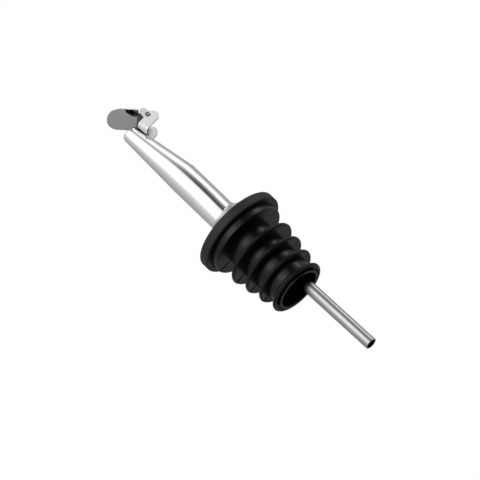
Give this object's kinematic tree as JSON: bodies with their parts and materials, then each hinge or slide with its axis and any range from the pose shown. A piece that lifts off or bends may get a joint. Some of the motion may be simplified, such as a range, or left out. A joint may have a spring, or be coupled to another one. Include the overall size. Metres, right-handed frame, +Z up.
{
  "type": "liquor pourer",
  "caption": "Flip-top liquor pourer: polished steel spout with a hinged flap over its tip, ribbed black rubber stopper for a bottle neck, and a thin vent tube.",
  "frame": {"origin": "on the stopper's axis, in the plane of the shoulder's underside that sits on the bottle's lip", "axes": "+Z up along the stopper's axis towards the spout, +X towards the flap's hinge, +Y along the hinge pin"},
  "size_m": [0.03, 0.03, 0.1143],
  "materials": {
    "rubber": "satin",
    "polished_steel": "polished",
    "plain_steel": "satin"
  },
  "bodies": {
    "pourer": {"stopper": "rubber", "spout_tube": "polished_steel", "foot_ring": "plain_steel", "vent_tube": "plain_steel", "hinge_bracket": "polished_steel", "hinge_pin": "plain_steel"},
    "flap": {"flap_lid": "polished_steel"}
  },
  "joints": [
    {"name": "flap_hinge", "type": "hinge", "parent": "pourer", "child": "flap", "pos_m": [0.00499, 0, 0.05259], "axis": [0, 1, 0], "range_deg": [-38.5, 32]}
  ]
}
